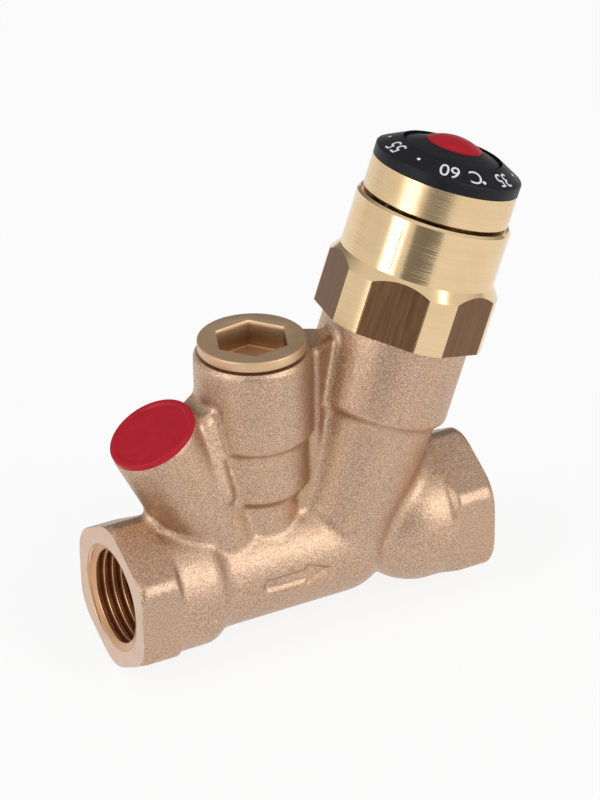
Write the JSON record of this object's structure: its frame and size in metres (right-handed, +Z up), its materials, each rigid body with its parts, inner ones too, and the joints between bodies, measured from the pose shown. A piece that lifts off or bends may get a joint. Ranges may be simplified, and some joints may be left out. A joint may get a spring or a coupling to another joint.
{
  "type": "circulation valve",
  "caption": "Y-pattern hot-water circulation valve: cast body with threaded ends, key-turned ball shut-off, plugged sensor boss and a leaning head whose scaled knob sets the return temperature.",
  "frame": {"origin": "centre of the inlet end face", "axes": "+X runs with the flow from inlet to outlet, +Z runs up along the shut-off neck, -Y is the side seen in the picture"},
  "size_m": [0.089, 0.034, 0.0961],
  "materials": {
    "cast_gunmetal": "sand-cast and shot-blasted gunmetal with a fine grain",
    "turned_brass": "turned and milled brass",
    "key_brass": "dull turned brass",
    "chrome_ball": "polished chrome plating",
    "stainless": "bright stainless steel",
    "copper_capsule": "drawn copper",
    "seat_plastic": "white sealing plastic",
    "red_plastic": "satin red plastic",
    "black_plastic": "satin black plastic",
    "grey_plastic": "satin dark grey plastic",
    "seal_rubber": "matt black sealing rubber"
  },
  "bodies": {
    "casting": {"valve_body": "cast_gunmetal", "seat_ring": "stainless", "ball_seat_inlet": "seat_plastic", "ball_seat_outlet": "seat_plastic", "ball_retainer": "turned_brass", "sensor_plug": "red_plastic", "bonnet": "turned_brass", "bonnet_o_ring": "seal_rubber", "stop_pin": "stainless", "stem_thrust_washer": "seat_plastic", "head_snap_ring": "stainless", "return_spring": "stainless"},
    "shutoff": {"shutoff_ball": "chrome_ball", "shutoff_stem": "turned_brass", "stem_o_ring": "seal_rubber", "key_head": "key_brass", "head_dust_ring": "seal_rubber"},
    "knob": {"setting_knob": "turned_brass", "scale_ring": "black_plastic", "cover_disc": "grey_plastic", "centre_cap": "red_plastic", "knob_screw": "stainless", "setting_spindle": "turned_brass", "spindle_o_ring_upper": "seal_rubber", "spindle_o_ring_lower": "seal_rubber", "spindle_circlip": "stainless"},
    "sleeve": {"setting_sleeve": "turned_brass", "overtravel_spring": "stainless", "pressure_plate": "stainless", "sleeve_retaining_ring": "stainless", "element_piston": "stainless"},
    "element": {"wax_element": "copper_capsule", "regulating_cone": "turned_brass", "cone_seal": "seal_rubber", "spring_collar": "stainless"}
  },
  "joints": [
    {"name": "shutoff_turn", "type": "hinge", "parent": "casting", "child": "shutoff", "pos_m": [0.03187, 0, 0.048], "axis": [0, 0, 1], "range_deg": [0, 90]},
    {"name": "knob_turn", "type": "hinge", "parent": "casting", "child": "knob", "pos_m": [0.07219, 0, 0.06582], "axis": [0.3404, 0, 0.9403], "range_deg": [-18.2, 284.8]},
    {"name": "sleeve_travel", "type": "slide", "parent": "casting", "child": "sleeve", "axis": [-0.3404, 0, -0.9403], "range_m": [-0.00008, 0.00119]},
    {"name": "element_stroke", "type": "slide", "parent": "sleeve", "child": "element", "axis": [-0.3404, 0, -0.9403], "range_m": [0, 0.002], "stiffness_N_per_m": 2000, "deforming": ["return_spring"]}
  ],
  "couplings": [
    {"joint": "sleeve_travel", "follows": "knob_turn", "m_per_rad": 0.00023873}
  ]
}
